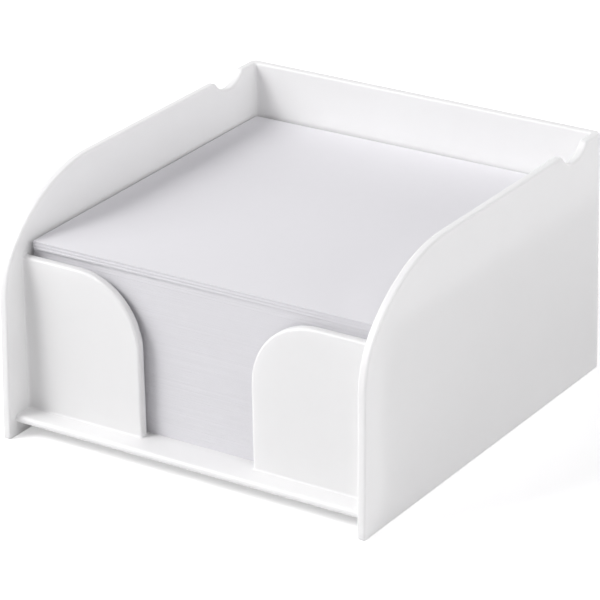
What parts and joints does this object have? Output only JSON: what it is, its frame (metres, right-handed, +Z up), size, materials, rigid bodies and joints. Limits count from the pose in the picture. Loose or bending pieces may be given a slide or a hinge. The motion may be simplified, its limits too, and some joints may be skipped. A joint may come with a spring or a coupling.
{
  "type": "memo holder",
  "caption": "Open-fronted moulded desk tray with rounded front tabs, swept side walls and pen-rest notches, holding a pile of loose square memo sheets.",
  "frame": {"origin": "centre of the tray's footprint, on the surface that it stands on", "axes": "+Z up, -Y towards the open front with the tabs, +X to the right seen from the front"},
  "size_m": [0.0964, 0.1032, 0.0586],
  "materials": {
    "tray_plastic": "smooth glossy opaque white moulding",
    "memo_paper": "uncoated, matte, slightly cool white"
  },
  "bodies": {
    "tray": {"tray": "tray_plastic"},
    "pile": {"lower_pile": "memo_paper"},
    "sheet_01": {"sheet_01": "memo_paper"},
    "sheet_02": {"sheet_02": "memo_paper"},
    "sheet_03": {"sheet_03": "memo_paper"},
    "sheet_04": {"sheet_04": "memo_paper"},
    "sheet_05": {"sheet_05": "memo_paper"},
    "sheet_06": {"sheet_06": "memo_paper"},
    "sheet_07": {"sheet_07": "memo_paper"},
    "sheet_08": {"sheet_08": "memo_paper"},
    "sheet_09": {"sheet_09": "memo_paper"},
    "sheet_10": {"sheet_10": "memo_paper"},
    "sheet_11": {"sheet_11": "memo_paper"},
    "sheet_12": {"sheet_12": "memo_paper"},
    "sheet_13": {"sheet_13": "memo_paper"},
    "sheet_14": {"sheet_14": "memo_paper"},
    "sheet_15": {"sheet_15": "memo_paper"},
    "sheet_16": {"sheet_16": "memo_paper"},
    "sheet_17": {"sheet_17": "memo_paper"},
    "sheet_18": {"sheet_18": "memo_paper"},
    "sheet_19": {"sheet_19": "memo_paper"},
    "sheet_20": {"sheet_20": "memo_paper"}
  },
  "joints": [
    {"name": "pile_lift", "type": "slide", "parent": "tray", "child": "pile", "axis": [0, 0, 1], "range_m": [0, 0.055]},
    {"name": "sheet_01_slide", "type": "slide", "parent": "pile", "child": "sheet_01", "axis": [0, -1, 0], "range_m": [0, 0.045]},
    {"name": "sheet_02_slide", "type": "slide", "parent": "pile", "child": "sheet_02", "axis": [0, -1, 0], "range_m": [0, 0.045]},
    {"name": "sheet_03_slide", "type": "slide", "parent": "pile", "child": "sheet_03", "axis": [0, -1, 0], "range_m": [0, 0.045]},
    {"name": "sheet_04_slide", "type": "slide", "parent": "pile", "child": "sheet_04", "axis": [0, -1, 0], "range_m": [0, 0.045]},
    {"name": "sheet_05_slide", "type": "slide", "parent": "pile", "child": "sheet_05", "axis": [0, -1, 0], "range_m": [0, 0.045]},
    {"name": "sheet_06_slide", "type": "slide", "parent": "pile", "child": "sheet_06", "axis": [0, -1, 0], "range_m": [0, 0.045]},
    {"name": "sheet_07_slide", "type": "slide", "parent": "pile", "child": "sheet_07", "axis": [0, -1, 0], "range_m": [0, 0.045]},
    {"name": "sheet_08_slide", "type": "slide", "parent": "pile", "child": "sheet_08", "axis": [0, -1, 0], "range_m": [0, 0.045]},
    {"name": "sheet_09_slide", "type": "slide", "parent": "pile", "child": "sheet_09", "axis": [0, -1, 0], "range_m": [0, 0.045]},
    {"name": "sheet_10_slide", "type": "slide", "parent": "pile", "child": "sheet_10", "axis": [0, -1, 0], "range_m": [0, 0.045]},
    {"name": "sheet_11_slide", "type": "slide", "parent": "pile", "child": "sheet_11", "axis": [0, -1, 0], "range_m": [0, 0.045]},
    {"name": "sheet_12_slide", "type": "slide", "parent": "pile", "child": "sheet_12", "axis": [0, -1, 0], "range_m": [0, 0.045]},
    {"name": "sheet_13_slide", "type": "slide", "parent": "pile", "child": "sheet_13", "axis": [0, -1, 0], "range_m": [0, 0.045]},
    {"name": "sheet_14_slide", "type": "slide", "parent": "pile", "child": "sheet_14", "axis": [0, -1, 0], "range_m": [0, 0.045]},
    {"name": "sheet_15_slide", "type": "slide", "parent": "pile", "child": "sheet_15", "axis": [0, -1, 0], "range_m": [0, 0.045]},
    {"name": "sheet_16_slide", "type": "slide", "parent": "pile", "child": "sheet_16", "axis": [0, -1, 0], "range_m": [0, 0.045]},
    {"name": "sheet_17_slide", "type": "slide", "parent": "pile", "child": "sheet_17", "axis": [0, -1, 0], "range_m": [0, 0.045]},
    {"name": "sheet_18_slide", "type": "slide", "parent": "pile", "child": "sheet_18", "axis": [0, -1, 0], "range_m": [0, 0.045]},
    {"name": "sheet_19_slide", "type": "slide", "parent": "pile", "child": "sheet_19", "axis": [0, -1, 0], "range_m": [0, 0.045]},
    {"name": "sheet_20_slide", "type": "slide", "parent": "pile", "child": "sheet_20", "axis": [0, -1, 0], "range_m": [0, 0.045]}
  ]
}
